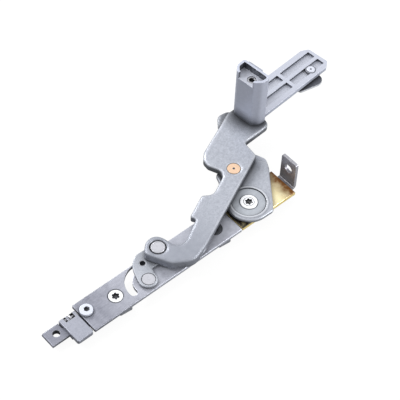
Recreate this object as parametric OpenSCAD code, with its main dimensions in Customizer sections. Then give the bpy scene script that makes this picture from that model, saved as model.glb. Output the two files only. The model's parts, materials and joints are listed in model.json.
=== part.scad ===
// Concealed tilt-and-turn window hinge, top corner, shown folded open.
// X runs along the sash rail, Y to the back, Z up; the origin is the centre
// of the rail's underside.

/* [Sash rail] */
// Length of the sash rail
rail_l = 124; // [122:1:130]
// Width of the sash rail and of the support plate
rail_w = 24; // [23.6:0.2:25]
// Thickness of the sash rail
rail_t = 2.5; // [2.4:0.1:3]
// Width of the crescent slot
slot_w = 5.2; // [5.2:0.1:5.6]
// Head diameter of the two clamp screws
head_d = 9.5; // [9:0.1:9.8]
// Shank diameter of the two clamp screws
screw_d = 5; // [4.6:0.1:5.4]

/* [Support plate and bracket] */
// Length of the support plate
plate_l = 47.8; // [46:0.2:50]
// Thickness of the support plate
plate_t = 3; // [2.8:0.1:3.3]
// Sheet thickness of the angle bracket
bracket_t = 2.2; // [2:0.1:2.4]
// Width of the angle bracket
bracket_w = 14; // [12:0.5:16]
// Height of the bracket's upright above the rail seat
bracket_h = 22.2; // [20:0.2:26]
// Fixing hole in the upright
bracket_hole_d = 6.8; // [5:0.1:7]

/* [Corner connector] */
// Length of the end block
block_l = 12.5; // [12:0.1:13]
// Thickness of the connecting tongue
tongue_t = 2; // [1.8:0.1:2.2]
// Width of the connecting tongue
tongue_w = 11.7; // [11:0.1:12]
// Coupling hole in the tongue
tongue_hole_d = 5; // [4:0.1:6]

/* [Arms] */
// Thickness of the control link
link_t = 2.2; // [2:0.1:2.4]
// Thickness of the support arm
support_t = 3.6; // [3.4:0.1:3.8]
// Thickness of the main arm
arm_t = 5.3; // [5:0.1:6]
// Edge rounding of the castings
edge_r = 1; // [0.6:0.1:1.1]

/* [Pivots] */
// Fixed rivet that the link turns on
rivet_d = 6; // [5:0.1:6.4]
// Pin between link and arm
pin_d = 7; // [6:0.1:7.4]
// Head of that pin
pin_head_d = 9.8; // [9.4:0.1:10]
// Pin that carries the leaf
leaf_pin_d = 7; // [6:0.1:7.4]
// Sleeve that the support arm turns on
bush_d = 9; // [8:0.1:10]
// Cover disc of that pivot
disc_d = 23; // [22:0.1:23.4]

/* [Leaf] */
// Length of the leaf from the pin to its free end
leaf_l = 77.2; // [77:0.2:80]
// Width of the leaf
leaf_w = 23.5; // [23.2:0.1:25]
// Thickness of the leaf plate
leaf_t = 3; // [2.6:0.1:3.6]
// Depth of the casting pockets
pocket_h = 1.5; // [1:0.1:1.6]
// Height of the bearing block's floor above the plate's underside
barrel_h = 37.4; // [34:0.2:42]
// Height of the rim round the floor
rim_h = 5.5; // [4:0.1:7]
// Thickness of the leaf clamp's lever
clamp_t = 2; // [1.8:0.1:2.6]

/* [Hidden] */
$fn = 64;
// radial clearance of a turning pin
run = 0.05;
// height gap between parts that slide over each other
gap = 0.2;
// gap between curved faces that pass each other
pass = 0.3;
// side clearance of a flat slider
slide = 0.1;
// reach of a cutter past the face that it opens
over = 1;
// small edge bevels of plates
bevel = 0.4;

x_l = -rail_l / 2;
x_r = rail_l / 2;

// heights, stacked from the rail's seat at zero
link_z = rail_t + gap;
link_top = link_z + link_t;
support_z = plate_t + gap;
support_top = support_z + support_t;
arm_z = max(link_top, support_top) + gap;
arm_top = arm_z + arm_t;
foot_z = link_top + 0.35;
leaf_z = arm_top + pass;
leaf_top = leaf_z + leaf_t;
floor_z = leaf_z + barrel_h;
rim_z = floor_z + rim_h;

// pivots in plan: rivet, link pin, arm rivet, support pivot, leaf pin
shift = [x_r - 62, 0];
piv_a = [-12.5, -4.6] + shift;
piv_b = [4.85, 6.96] + shift;
piv_c = [86.4, 24.5] + shift;
piv_d = [78.4, 0] + shift;
piv_e = [125.4, 52.6] + shift;
// the guide stud rides in a slot about the fixed rivet
guide_r = 13;
guide_from = 68;
guide_travel = 115;
stud_d = slot_w - 2 * pass;

screw_x = [x_l + 26, x_r - 14];
button_at = [x_l + 4.6, 3];
button_d = 9;
stem_d = 5;
collar_d = 6.8;

lap_w = 16;
lap_t = 1.3;
plate_x = x_r + 0.6;
plate_end = plate_x + plate_l;
upright_x = plate_end + 3.6;
foot_x = piv_d[0] - 8;
lap_end = piv_d[0] + 9;

block_x = x_l - 0.9 - block_l;
block_y = 8.3;
block_z = -tongue_t - 0.3;
notch_x = [block_x + 3, block_x + 10.3];
notch_y = 4.1;
spindle_y = 6.2;
spindle_z = 0.5;
spindle_d = 3;
wheel_d = 4;
wheel_x = notch_x[0] + 3.7;
wheel_l = 1.3;
notch_z = spindle_z - wheel_d / 2 - 0.25;
journal_d = 2;
lug_x = notch_x[0] + 1.7;
lug_l = 1.4;
tongue_y = -3.3;
stem_w = 6.8;
tongue_end = block_x - 13.3;

leaf_turn = 4.7;
leaf_side = -8.5;
wall = 1.7;
clamp_at = [leaf_l - 14.6, -2.1];
clamp_z = leaf_z - 3.6;

// plan outlines from corner points [x, y, radius]

function xy(p) = [p[0], p[1]];
function dir(a, b) = (b - a) / norm(b - a);
function angle(v) = atan2(v[1], v[0]);
function fold(a) = a > 180 ? a - 360 : (a < -180 ? a + 360 : a);

// the arc that rounds corner p between its neighbours a and b
function corner(a, p, b) =
    let (u = dir(xy(p), xy(a)),
         v = dir(xy(p), xy(b)),
         half = acos(u * v) / 2,
         c = xy(p) + (u + v) / norm(u + v) * p[2] / sin(half),
         s = xy(p) + u * p[2] / tan(half),
         e = xy(p) + v * p[2] / tan(half),
         start = angle(s - c),
         sweep = fold(angle(e - c) - start),
         n = max(1, ceil(abs(sweep) / 11)))
    p[2] < 0.05 ? [xy(p)] : [for (i = [0 : n]) c + p[2] * dir_at(start + sweep * i / n)];
function dir_at(a) = [cos(a), sin(a)];
function rounded(p) =
    let (n = len(p))
    [for (i = [0 : n - 1]) each corner(p[(i + n - 1) % n], p[i], p[(i + 1) % n])];

// outline moved inwards by d with its edges kept parallel
function inset(p, d) =
    let (n = len(p))
    [for (i = [0 : n - 1])
        let (e = dir(p[(i + n - 1) % n], p[i]),
             f = dir(p[i], p[(i + 1) % n]),
             m = [-e[1], e[0]],
             k = [-f[1], f[0]])
        p[i] + (m + k) * d / (1 + m * k)];
function ring(p, d, z) = [for (q = inset(p, d)) [q[0], q[1], z]];

// a cast plate between z0 and z1 whose edges are rounded by r
module cast_plate(p, z0, z1, r, steps = 3) {
    n = len(p);
    low = [for (k = [0 : steps]) let (a = 90 * k / steps) [r * (1 - sin(a)), z0 + r * (1 - cos(a))]];
    high = [for (k = [0 : steps]) let (a = 90 * k / steps) [r * (1 - cos(a)), z1 - r * (1 - sin(a))]];
    rings = concat(low, high);
    last = len(rings) - 1;
    // a resize by nothing keeps the hollow caps' own triangles
    resize([0, 0, 0])
    polyhedron(
        points = [for (q = rings) each ring(p, q[0], q[1])],
        faces = concat(
            [[for (i = [0 : n - 1]) i]],
            [[for (i = [0 : n - 1]) last * n + n - 1 - i]],
            [for (j = [0 : last - 1], i = [0 : n - 1])
                let (k = (i + 1) % n)
                [j * n + i, (j + 1) * n + i, (j + 1) * n + k, j * n + k]]));
}

// a plate with bevelled upper edges, x0 to x1 long and w wide
module bevelled_plate(x0, x1, w, z0, z1, c) {
    intersection() {
        translate([x0, 0, 0])
        rotate([90, 0, 90])
        linear_extrude(x1 - x0)
        polygon([[-w / 2, z0], [w / 2, z0], [w / 2, z1 - c], [w / 2 - c, z1], [c - w / 2, z1], [-w / 2, z1 - c]]);
        translate([0, w / 2, 0])
        rotate([90, 0, 0])
        linear_extrude(w)
        polygon([[x0, z0], [x1, z0], [x1, z1 - c], [x1 - c, z1], [x0 + c, z1], [x0, z1 - c]]);
    }
}

module at(p, z = 0) {
    translate([p[0], p[1], z]) children();
}

// a cylinder from z0 to z1 whose top edge is bevelled by c
module bevelled_pin(d, z0, z1, c) {
    translate([0, 0, z0]) cylinder(d = d, h = z1 - c - z0);
    translate([0, 0, z1 - c]) cylinder(d1 = d, d2 = d - 2 * c, h = c);
}

module hole(d, z0, z1) {
    translate([0, 0, z0 - over]) cylinder(d = d, h = z1 - z0 + 2 * over);
}

// six-lobed driver recess
module star_recess(d, top, depth) {
    translate([0, 0, top - depth]) cylinder(d = d * 0.76, h = depth + over);
    for (i = [0 : 5])
        rotate(60 * i)
        translate([d * 0.36, 0, top - depth])
        cylinder(d = d * 0.28, h = depth + over, $fn = 24);
}

module hex_recess(af, top, depth) {
    translate([0, 0, top - depth]) cylinder(d = af / cos(30), h = depth + over, $fn = 6);
}

module sector(r, from, travel, z0, z1) {
    translate([0, 0, z0])
    linear_extrude(z1 - z0)
    polygon(concat([[0, 0]], [for (i = [0 : 3]) 3 * r * dir_at(from + travel * i / 3)]));
}

// crescent slot that the guide stud rides in
module guide_slot() {
    at(piv_a) {
        intersection() {
            difference() {
                hole(2 * guide_r + slot_w, 0, rail_t);
                hole(2 * guide_r - slot_w, -over, rail_t + over);
            }
            sector(guide_r, guide_from, guide_travel, -over, rail_t + over);
        }
        for (a = [guide_from, guide_from + guide_travel])
            at(guide_r * dir_at(a)) hole(slot_w, 0, rail_t);
    }
}

// shape of a countersunk head with radial play g round it
module sunk_head(g) {
    drop = (head_d - screw_d) / 2;
    land = 0.3;
    translate([0, 0, rail_t - land]) cylinder(d = head_d + 2 * g, h = land + (g > 0 ? over : 0));
    translate([0, 0, rail_t - land - drop]) cylinder(d1 = screw_d + 2 * g, d2 = head_d + 2 * g, h = drop);
}

module sash_rail() {
    color("#b4b8c0")
    difference() {
        union() {
            intersection() {
                bevelled_plate(x_l, x_r, rail_w, 0, rail_t, bevel);
                translate([0, 0, -over])
                linear_extrude(rail_t + 2 * over)
                polygon(rounded([[x_l, -rail_w / 2, 0.8], [x_r, -rail_w / 2, 0.5], [x_r, rail_w / 2, 0.5], [x_l, rail_w / 2, 0.7]]));
            }
            linear_extrude(lap_t)
            polygon(rounded([[x_r - 2, -lap_w / 2, 0], [lap_end, -lap_w / 2, 3], [lap_end, lap_w / 2, 3], [x_r - 2, lap_w / 2, 0]]));
        }
        guide_slot();
        for (x = screw_x)
            at([x, 0]) {
                hole(screw_d, 0, rail_t);
                sunk_head(0.35);
            }
        at(piv_a) {
            hole(rivet_d, 0, rail_t);
            translate([0, 0, -over]) cylinder(d = rivet_d + 2, h = 1 + over);
        }
        at(piv_d) hole(rivet_d, 0, rail_t);
        at(button_at) hole(stem_d + 2 * run, 0, rail_t);
        // blind seat of the end block's peg
        at([x_l + 12.5, 0]) translate([0, 0, -over]) cylinder(d = 4, h = 1.2 + over);
    }
}

module support_plate() {
    color("#e3d5a2")
    difference() {
        bevelled_plate(plate_x, plate_end, rail_w, 0, plate_t, 0.6);
        // channel over the rail's lap
        translate([plate_x - over, -lap_w / 2 - slide, -over])
        cube([lap_end + pass - plate_x + over, lap_w + 2 * slide, lap_t + over]);
        at(piv_d) hole(rivet_d, 0, plate_t);
    }
}

module angle_bracket() {
    bend = 0.8;
    color("#4a4b50")
    difference() {
        intersection() {
            translate([0, 0.3 + bracket_w / 2, 0])
            rotate([90, 0, 0])
            linear_extrude(bracket_w)
            polygon(rounded([
                [foot_x, -bracket_t, 0.5],
                [upright_x + bracket_t, -bracket_t, bend + bracket_t],
                [upright_x + bracket_t, bracket_h, 0.3],
                [upright_x, bracket_h, 0.3],
                [upright_x, 0, bend],
                [foot_x, 0, 0.3]]));
            union() {
                translate([foot_x - over, -rail_w, -rail_w])
                cube([upright_x - foot_x, 2 * rail_w, 2 * rail_w]);
                translate([upright_x - 2 * over, 0.3, 0])
                rotate([90, 0, 90])
                linear_extrude(bracket_t + 4 * over)
                polygon(rounded([
                    [-bracket_w / 2, -rail_w, 0],
                    [bracket_w / 2, -rail_w, 0],
                    [bracket_w / 2, bracket_h, 1.6],
                    [-bracket_w / 2, bracket_h, 1.6]]));
            }
        }
        at(piv_d) hole(rivet_d, -bracket_t, 0);
        translate([upright_x - over, 0.3, bracket_h - 8.9])
        rotate([0, 90, 0])
        cylinder(d = bracket_hole_d, h = bracket_t + 2 * over);
    }
}

module end_block() {
    h = rail_t - block_z;
    y0 = -rail_w / 2;
    color("#b9bdc6")
    difference() {
        union() {
            intersection() {
                translate([0, (block_y + y0) / 2, 0])
                bevelled_plate(block_x, block_x + block_l, block_y - y0, block_z, rail_t, 0.5);
                translate([0, 0, block_z - over])
                linear_extrude(h + 2 * over)
                polygon(rounded([
                    [block_x, y0, 1.4],
                    [block_x + block_l, y0, 1.8],
                    [block_x + block_l, block_y, 0.4],
                    [block_x, block_y, 0.4]]));
            }
            // heel under the rail with the peg that is pressed into it
            translate([block_x + block_l - over, -5.5, block_z]) cube([over + 17.9, 11, -block_z]);
            at([x_l + 12.5, 0], block_z) cylinder(d = 4, h = 1.2 - block_z);
        }
        // channel of the tongue's stem
        translate([block_x - over, tongue_y - slide, block_z - over])
        cube([11, stem_w + 2 * slide, over - block_z + 0.05]);
        // thinner front part
        translate([block_x - over, y0 - over, block_z - over])
        cube([block_l + 2 * over, 6 + over, over + 1.6]);
        // notch of the adjusting wheel, with a thin floor
        translate([notch_x[0], notch_y, notch_z])
        cube([notch_x[1] - notch_x[0], block_y - notch_y + over, h + over]);
        // way of the tongue's lug below it
        translate([notch_x[0], 0, block_z - over])
        cube([notch_x[1] - notch_x[0], notch_y + 1, over - block_z + 0.05]);
        translate([notch_x[0] - 1.2, spindle_y, spindle_z])
        rotate([0, 90, 0])
        cylinder(d = journal_d + 2 * run, h = notch_x[1] - notch_x[0] + 2.4);
        at(button_at) hole(collar_d + 2 * pass, block_z, 0);
    }
}

module connecting_tongue() {
    top = 0;
    color("#a9adb6")
    difference() {
        union() {
            // plate with a bevelled free end
            translate([0, tongue_y + tongue_w, 0])
            rotate([90, 0, 0])
            linear_extrude(tongue_w)
            polygon([
                [tongue_end, -tongue_t],
                [block_x - 0.6, -tongue_t],
                [block_x - 0.6, top],
                [tongue_end + 0.9, top],
                [tongue_end, top - 0.9]]);
            translate([block_x - over, tongue_y, -tongue_t]) cube([9.9, stem_w, tongue_t]);
            // lug that the spindle draws along
            translate([lug_x, 0, -tongue_t]) cube([lug_l, notch_y + 0.9, tongue_t - 0.1]);
            translate([lug_x, spindle_y - 1.8, notch_z + 0.2]) cube([lug_l, 3.6, rail_t - notch_z - 0.3]);
            // collar under the coupling hole
            at([tongue_end + 7.4, tongue_y + 6.2], -tongue_t - 2) cylinder(d = tongue_hole_d + 2.4, h = 2.5);
        }
        at([tongue_end + 7.4, tongue_y + 6.2]) hole(tongue_hole_d, -tongue_t - 2, top);
        translate([lug_x - over, spindle_y, spindle_z])
        rotate([0, 90, 0])
        cylinder(d = spindle_d + 2 * run, h = lug_l + 2 * over);
    }
}

module adjusting_spindle() {
    x0 = notch_x[0];
    x1 = notch_x[1];
    color("#9a9da4")
    translate([0, spindle_y, spindle_z])
    rotate([0, 90, 0]) {
        translate([0, 0, x0 - 1.1]) cylinder(d = journal_d, h = x1 - x0 + 2.2);
        translate([0, 0, x0 + 0.1]) cylinder(d = spindle_d, h = wheel_x - x0);
        translate([0, 0, wheel_x]) cylinder(d = wheel_d, h = wheel_l, $fn = 16);
    }
}

module clamp_screws() {
    color("#e4e6ea")
    for (x = screw_x)
        at([x, 0])
        difference() {
            union() {
                sunk_head(0);
                translate([0, 0, -5]) cylinder(d = screw_d, h = 5 + rail_t - 1);
            }
            star_recess(5.4, rail_t, 1.7);
        }
}

module groove_nuts() {
    w = 9.2;
    reach = 10.5;
    color("#a9adb6")
    for (x = screw_x)
        at([x + 0.9, 0])
        difference() {
            translate([0, 0, -4.2])
            linear_extrude(3.4)
            polygon(rounded([
                [-w / 2 - 1, -reach, 1],
                [w / 2 - 0.5, -reach - 1, 1],
                [w / 2 - 0.5, reach - 2, 1],
                [-w / 2 + 0.5, reach, 1]]));
            translate([-0.9, 0, 0]) hole(screw_d, -4.2, -0.8);
        }
}

module pivot_nut() {
    color("#b4b8c0")
    at(piv_d)
    difference() {
        union() {
            translate([0, 0, -bracket_t - 1.2]) cylinder(d = 12.5, h = 1.2);
            translate([0, 0, -bracket_t - 4]) cylinder(d = 10 / cos(30), h = 3, $fn = 6);
        }
        hole(rivet_d, -bracket_t - 4, -bracket_t);
    }
}

module pivot_bush() {
    color("#b4b8c0")
    at(piv_d)
    difference() {
        translate([0, 0, plate_t]) cylinder(d = bush_d, h = support_z + 2 - plate_t);
        hole(rivet_d, plate_t, support_z + 2);
    }
}

module eccentric_button() {
    top = rail_t + 2;
    color("#f0f1f3")
    at(button_at)
    difference() {
        union() {
            bevelled_pin(button_d, rail_t + 0.1, top, 0.35);
            translate([0, 0, -0.2]) cylinder(d = stem_d, h = rail_t + 0.4);
            translate([0, 0, -1.3]) cylinder(d = collar_d, h = 1.15);
        }
        translate([0.5, 0, 0]) hex_recess(3.5, top, 1.7);
    }
}

link_plan = rounded([
    [12.2, -0.4, 7.2], [12.2, 14.3, 7.2], [-6.3, 15.5, 4.5], [-13.5, 11.6, 13],
    [-16.9, 4.6, 25], [-21.3, -10.6, 6.5], [-6.4, -10.6, 6], [-6.5, -2.6, 4],
    [-5.1, 0.9, 1.4]]);

module control_link() {
    color("#bcc0c8")
    difference() {
        at(shift) cast_plate(link_plan, link_z, link_top, 0.5, 2);
        at(piv_a) {
            hole(rivet_d + 2 * run, link_z, link_top);
            translate([0, 0, link_z + 1.1]) cylinder(d = rivet_d + 3.4, h = link_t);
        }
        at(piv_b) hole(pin_d, link_z, link_top);
        at(piv_a + guide_r * dir_at(guide_from)) hole(stud_d, link_z, link_top);
    }
}

module link_rivet() {
    color("#d6d9de")
    at(piv_a) {
        cylinder(d = rivet_d + 2, h = 1);
        translate([0, 0, 0.5]) cylinder(d = rivet_d, h = link_z + 1.5);
        bevelled_pin(rivet_d + 2.8, link_z + 1.2, link_top + 0.15, 0.25);
    }
}

module guide_stud() {
    color("#aeb2ba")
    at(piv_a + guide_r * dir_at(guide_from))
    difference() {
        translate([0, 0, 0.4]) cylinder(d = stud_d, h = link_top - 0.4);
        translate([0, 0, link_top - 2.6]) cylinder(d = 3.9, h = 2.6 + over);
    }
}

arm_plan = rounded([
    [131.6, 38.2, 4.5], [135, 53.6, 8], [128.8, 64.8, 7], [116.5, 64.4, 5],
    [80.4, 48.3, 5], [75.2, 43, 4], [74.6, 37.5, 4], [78.4, 29, 3.5],
    [76.6, 24.2, 7], [61.2, 16.7, 6], [54.6, 21, 2.2], [36.4, 12.2, 1.8],
    [39.2, 8.6, 1.6], [21.4, -1.2, 8], [14.6, 0.2, 5], [12.6, 9.6, 9],
    [9.8, 16.9, 7], [1.2, 15.1, 6], [-5.2, 9.4, 3.2], [-3, 4.4, 12],
    [3.6, -8.2, 5], [16.2, -16.2, 11], [30.8, -11.4, 14], [92, 16.8, 20],
    [106.2, 23.3, 2.8], [107.7, 36.8, 2.6]]);
// lower layer that thickens the arm round the link pin
foot_plan = rounded([
    [38, -8.08, 3], [30, 3.53, 3], [21.4, -1.2, 8], [14.6, 0.2, 5], [12.6, 9.6, 9],
    [9.8, 16.9, 7], [1.2, 15.1, 6], [-5.2, 9.4, 3.2], [-3, 4.4, 12],
    [3.6, -8.2, 5], [16.2, -16.2, 11], [30.8, -11.4, 14]]);
// lower flange behind the arm's far end
flange_plan = rounded([
    [121, 52, 3], [123.5, 63.4, 3], [119.2, 68, 5], [111.2, 69.2, 6],
    [104, 60.4, 5], [104, 54, 3]]);

module main_arm() {
    color("#b7bbc4")
    difference() {
        union() {
            at(shift) cast_plate(arm_plan, arm_z, arm_top, edge_r);
            at(shift) cast_plate(flange_plan, arm_z, arm_z + 1.6, 0.4, 1);
            at(shift) cast_plate(foot_plan, foot_z, arm_z + 2, 0.6, 2);
        }
        at(piv_b) {
            hole(pin_d + 2 * run, foot_z, arm_top);
            translate([0, 0, arm_top - 2.8]) cylinder(d = pin_head_d + 1.8, h = 2.8 + over);
        }
        at(piv_c) {
            hole(rivet_d, arm_z, arm_top);
            translate([0, 0, arm_top - 1.1]) cylinder(d = rivet_d + 3.7, h = 1.1 + over);
        }
        at(piv_e) hole(leaf_pin_d, arm_z, arm_top);
    }
}

module arm_pin() {
    top = arm_top + 0.15;
    color("#d6d9de")
    at(piv_b)
    difference() {
        union() {
            translate([0, 0, link_z]) cylinder(d = pin_d, h = arm_top - 2.5 - link_z);
            bevelled_pin(pin_head_d, arm_top - 2.7, top, 0.5);
        }
        translate([0, 0, top - 0.15]) cylinder(d = pin_head_d - 2, h = over);
    }
}

module arm_spacer() {
    color("#8f9299")
    at(piv_b)
    difference() {
        translate([0, 0, link_top]) cylinder(d = pin_d + 3.6, h = foot_z - link_top - 0.05);
        hole(pin_d, link_top, foot_z);
    }
}

module arm_rivet() {
    top = arm_top + 0.1;
    color("#e0b595")
    at(piv_c)
    difference() {
        union() {
            translate([0, 0, support_z + 0.1]) cylinder(d = rivet_d, h = arm_top - 0.5 - support_z);
            bevelled_pin(rivet_d + 3, arm_top - 1.1, top, 0.2);
        }
        translate([0, 0, top - 0.5]) cylinder(d1 = 0.8, d2 = 1.8, h = 0.51);
    }
}

bead_h = 0.4;
bead_r = disc_d / 2 + pass + 2;
support_plan = rounded([
    [63.2, -15.2, 15], [86.6, -15.6, 3], [92.5, -8.4, 2.5], [109.4, 13.6, 5],
    [113.2, 20.6, 5.5], [108.6, 31.4, 5], [90.5, 37.2, 8], [76.4, 31.2, 4],
    [75.2, 27.4, 6], [63.2, 3.4, 12]]);

module support_arm() {
    color("#aeb3bc")
    difference() {
        union() {
            at(shift) cast_plate(support_plan, support_z, support_top - bead_h, edge_r * 1.1);
            // raised bead round the cover disc
            at(piv_d)
            rotate_extrude($fn = 96)
            polygon([
                [bead_r - 3, support_z + 1],
                [bead_r, support_z + 1],
                [bead_r, support_top - bead_h],
                [bead_r - bead_h, support_top],
                [bead_r - 3, support_top]]);
        }
        at(piv_d) {
            hole(bush_d + 2 * run, support_z, support_top);
            translate([0, 0, support_z + 1.9]) cylinder(d = disc_d + 2 * pass, h = support_t);
            // lower land beyond the step at the far end
            translate([0, 0, support_top - bead_h - 0.6])
            difference() {
                sector(20, 10, 100, 0, 0.6 + over);
                translate([0, 0, -over]) cylinder(r = 36.6, h = 3 * over, $fn = 96);
            }
        }
        // opening that the arm's rivet moves in
        at(piv_c)
        translate([0, 0, support_z - over])
        linear_extrude(support_t + 2 * over)
        polygon(rounded([[-6.3, -3.7, 3], [6.8, -3.7, 3], [6.8, 5, 3], [-6.3, 5, 3]]));
    }
}

module pivot_disc() {
    z0 = support_z + 2;
    color("#a4a8b0")
    at(piv_d)
    difference() {
        bevelled_pin(disc_d, z0, z0 + 1.05, 0.2);
        hole(rivet_d, z0, z0 + 1.05);
        translate([0, 0, z0 + 0.7]) cylinder(d = 12.2, h = over);
    }
}

module pivot_screw() {
    top = support_top + 0.05;
    color("#f0f1f3")
    at(piv_d)
    difference() {
        union() {
            translate([0, 0, -bracket_t - 4.4]) cylinder(d = rivet_d, h = bracket_t + 4.4 + support_z + 2.8);
            bevelled_pin(11.8, support_z + 2.7, top, 0.3);
        }
        translate([0, 0, top - 0.3])
        difference() {
            cylinder(d = 7.6, h = over);
            translate([0, 0, -over]) cylinder(d = 6.8, h = 3 * over);
        }
        star_recess(5.4, top, 2.4);
    }
}

module hinge_pin() {
    color("#c8cbd1")
    at(piv_e) bevelled_pin(leaf_pin_d, arm_z, floor_z - 5.1, 0.5);
}

block_corners = [
    [-5, -6.2, 0.8], [-0.8, -10.4, 5], [6.9, -11, 3], [6.5, 11.6, 0.8],
    [5.6, 13.2, 1.6], [-1.6, 13, 6], [-5.4, 8.6, 3]];
block_plan = rounded(block_corners);
// the well inside the rim, its corners drawn in by the wall
well_corners = inset([for (p = block_corners) xy(p)], wall);
well_plan = rounded([for (i = [0 : len(block_corners) - 1])
    [well_corners[i][0], well_corners[i][1], max(block_corners[i][2] - wall, 0.2)]]);
plate_plan = rounded([
    [3, leaf_side, 0], [leaf_l - 5.2, leaf_side, 2.5], [leaf_l, -5.2, 2.5],
    [leaf_l - 0.8, leaf_side + leaf_w - 3, 2], [leaf_l - 6.4, leaf_side + leaf_w, 2.5],
    [3, leaf_side + leaf_w, 0]]);

module leaf_frame() {
    at(piv_e) rotate(leaf_turn) children();
}

module pocket(x0, x1, y0, y1) {
    translate([0, 0, leaf_top - pocket_h])
    linear_extrude(pocket_h + over)
    polygon(rounded([[x0, y0, 0.5], [x1, y0, 0.5], [x1, y1, 0.5], [x0, y1, 0.5]]));
}

module hinge_leaf() {
    ribs = [40.7, 43.6];
    color("#bfc3cc")
    leaf_frame()
    difference() {
        union() {
            difference() {
                translate([0, 0, leaf_z]) linear_extrude(leaf_t) polygon(plate_plan);
                for (y = [[4.5, 10.6], [-4.5, 1.6]]) {
                    pocket(4, ribs[0], y[0], y[1]);
                    pocket(ribs[1], leaf_l - 3.2, y[0], y[1]);
                }
            }
            translate([0, 0, leaf_z]) linear_extrude(rim_z - leaf_z) polygon(block_plan);
            // pad on the plate side of the rim
            translate([5.5, 0, floor_z - 20])
            linear_extrude(19 + rim_h)
            polygon(rounded([[0, -2.2, 0], [3.2, -2.2, 0.9], [2.6, 10.3, 0.9], [0, 10.3, 0]]));
            at(clamp_at, leaf_top - 2) cylinder(d = 8, h = 1.8);
        }
        // well over the height screw, open on the left
        translate([0, 0, floor_z])
        linear_extrude(rim_h + over)
        polygon(well_plan);
        translate([-9, -5.2, floor_z]) cube([8, 12.6, rim_h + over]);
        hole(6.5, floor_z - 4, floor_z);
        translate([0, 0, leaf_z - over]) cylinder(d = leaf_pin_d + 2 * run, h = barrel_h - 5 + over);
        at(clamp_at) hole(4, leaf_z, leaf_top);
        // spot face under the rivet's head
        at(clamp_at, leaf_top - 0.2) cylinder(d = 8, h = over);
    }
}

module height_screw() {
    top = floor_z - 0.2;
    color("#8a8c92")
    at(piv_e)
    difference() {
        bevelled_pin(6.4, floor_z - 4.8, top, 0.4);
        hex_recess(3.6, top, 2.6);
    }
}

module leaf_rivet() {
    color("#e4e6ea")
    leaf_frame()
    at(clamp_at)
    difference() {
        union() {
            bevelled_pin(5.8, leaf_top - 0.2, leaf_top + 0.35, 0.25);
            translate([0, 0, clamp_z - 0.2]) cylinder(d = 4, h = leaf_top + 0.2 - clamp_z);
            translate([0, 0, clamp_z - 1]) cylinder(d = 6.4, h = 0.95);
        }
        translate([0, 0, leaf_top + 0.05]) cylinder(d1 = 0.8, d2 = 1.6, h = 0.31);
    }
}

// lever outline about its rivet
clamp_plan = rounded([
    [3.6, -10.3, 5.5], [4.4, 5.1, 5], [-4.6, 7.7, 4], [-18.2, 1.5, 2.5],
    [-17.8, -6.7, 2], [-2.8, -11.1, 6]]);

module leaf_clamp() {
    color("#83868d")
    leaf_frame()
    difference() {
        union() {
            at(clamp_at) cast_plate(clamp_plan, clamp_z, clamp_z + clamp_t, 0.3, 1);
            at(clamp_at, clamp_z + 0.5) cylinder(d = 9, h = leaf_z - clamp_z - 0.6);
        }
        at(clamp_at) hole(4 + 2 * run, clamp_z, leaf_z);
    }
}

sash_rail();
support_plate();
angle_bracket();
end_block();
connecting_tongue();
adjusting_spindle();
clamp_screws();
groove_nuts();
pivot_nut();
pivot_bush();
eccentric_button();
control_link();
link_rivet();
guide_stud();
main_arm();
arm_pin();
arm_spacer();
arm_rivet();
support_arm();
pivot_disc();
pivot_screw();
hinge_pin();
hinge_leaf();
height_screw();
leaf_rivet();
leaf_clamp();
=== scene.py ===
# %% [markdown]
# # A folding window hinge, dressed for its portrait
#
# The hinge is a concealed tilt-and-turn fitting: a flat rail on the sash, a control link,
# a long cast arm, a wedge-shaped support arm and a leaf that screws to the window frame.
# The solids come from a CAD program and are never moved here. Blender gives them what a
# CAD solid lacks: softened edges, cast and plated metal, a thread, light and a camera.

# %% Load the CAD frame
import json
import math

import bmesh
import bpy
from mathutils import Matrix, Vector

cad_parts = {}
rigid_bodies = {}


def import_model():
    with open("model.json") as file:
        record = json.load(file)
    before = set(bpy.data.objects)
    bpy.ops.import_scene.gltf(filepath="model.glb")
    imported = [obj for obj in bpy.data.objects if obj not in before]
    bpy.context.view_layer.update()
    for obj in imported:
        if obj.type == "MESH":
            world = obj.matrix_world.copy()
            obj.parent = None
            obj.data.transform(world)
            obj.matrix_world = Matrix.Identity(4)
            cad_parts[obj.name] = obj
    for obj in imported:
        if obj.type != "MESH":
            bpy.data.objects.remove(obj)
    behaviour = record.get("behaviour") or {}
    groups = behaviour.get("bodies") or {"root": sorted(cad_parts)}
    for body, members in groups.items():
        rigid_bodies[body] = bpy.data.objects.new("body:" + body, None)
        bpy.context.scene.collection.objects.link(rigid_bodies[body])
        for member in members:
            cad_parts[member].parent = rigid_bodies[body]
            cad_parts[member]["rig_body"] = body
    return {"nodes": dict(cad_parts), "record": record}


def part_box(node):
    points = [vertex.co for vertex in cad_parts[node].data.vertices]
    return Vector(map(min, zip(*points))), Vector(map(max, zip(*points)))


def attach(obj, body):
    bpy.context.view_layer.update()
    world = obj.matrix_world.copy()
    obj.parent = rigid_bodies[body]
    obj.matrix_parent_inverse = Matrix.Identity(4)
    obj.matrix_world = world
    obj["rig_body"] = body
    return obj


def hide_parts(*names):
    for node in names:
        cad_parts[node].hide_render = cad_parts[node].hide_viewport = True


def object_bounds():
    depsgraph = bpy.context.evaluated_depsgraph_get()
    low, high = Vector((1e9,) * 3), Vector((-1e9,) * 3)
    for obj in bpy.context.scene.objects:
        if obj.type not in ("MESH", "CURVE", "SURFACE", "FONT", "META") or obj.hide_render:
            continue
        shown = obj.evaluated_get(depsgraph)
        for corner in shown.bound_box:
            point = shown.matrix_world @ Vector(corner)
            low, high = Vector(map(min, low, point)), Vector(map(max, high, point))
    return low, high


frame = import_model()
cad_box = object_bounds()
MM = 0.001

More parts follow.
